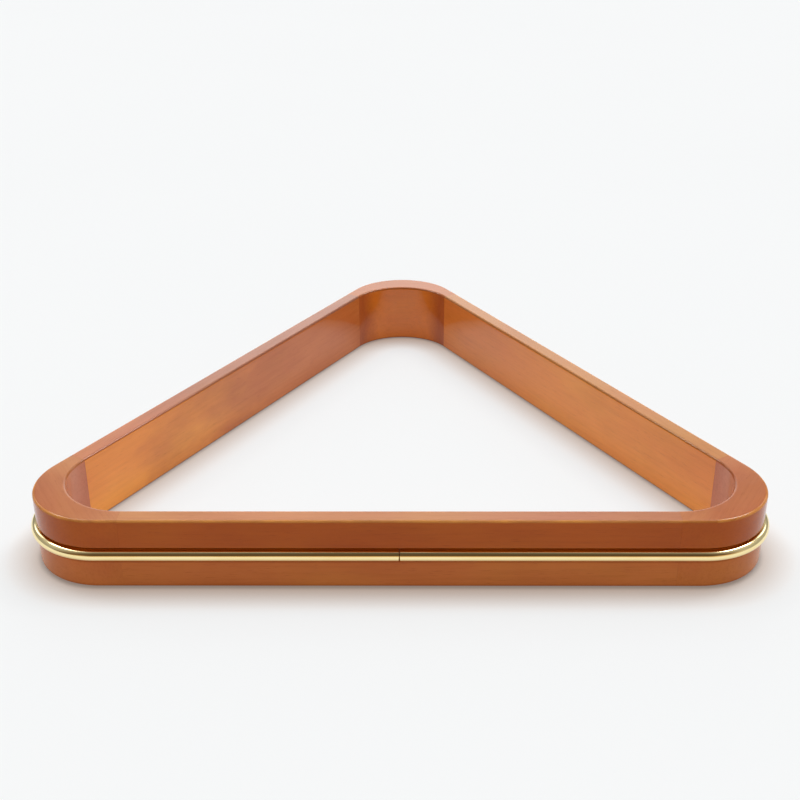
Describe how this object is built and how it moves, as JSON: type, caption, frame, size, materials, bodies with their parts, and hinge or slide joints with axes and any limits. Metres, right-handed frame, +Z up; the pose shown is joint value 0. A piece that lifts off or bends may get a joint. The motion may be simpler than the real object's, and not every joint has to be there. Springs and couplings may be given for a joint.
{
  "type": "triangle rack",
  "caption": "Rounded wooden triangle frame, open top and bottom, with a half-round brass band round the outside, for racking pool balls.",
  "frame": {"origin": "middle of the footprint, on the table, at the height of the underside", "axes": "+X along the front rail towards the viewer's right, +Y from the front rail towards the far corner, +Z up off the table"},
  "size_m": [0.3188, 0.2852, 0.0325],
  "materials": {
    "rail_wood": "orange-brown stained hardwood under gloss lacquer",
    "corner_wood": "red-brown stained hardwood under gloss lacquer",
    "dowel_wood": "plain beech",
    "brass": "polished"
  },
  "bodies": {
    "root": {"rail_front": "rail_wood", "rail_left": "rail_wood", "rail_right": "rail_wood", "corner_left": "corner_wood", "corner_right": "corner_wood", "corner_back": "corner_wood", "brass_band": "brass", "dowel_front_rail_left_lower": "dowel_wood", "dowel_front_rail_left_upper": "dowel_wood", "dowel_front_rail_right_lower": "dowel_wood", "dowel_front_rail_right_upper": "dowel_wood", "dowel_right_rail_front_lower": "dowel_wood", "dowel_right_rail_front_upper": "dowel_wood", "dowel_right_rail_back_lower": "dowel_wood", "dowel_right_rail_back_upper": "dowel_wood", "dowel_left_rail_front_lower": "dowel_wood", "dowel_left_rail_front_upper": "dowel_wood", "dowel_left_rail_back_lower": "dowel_wood", "dowel_left_rail_back_upper": "dowel_wood"}
  },
  "joints": []
}
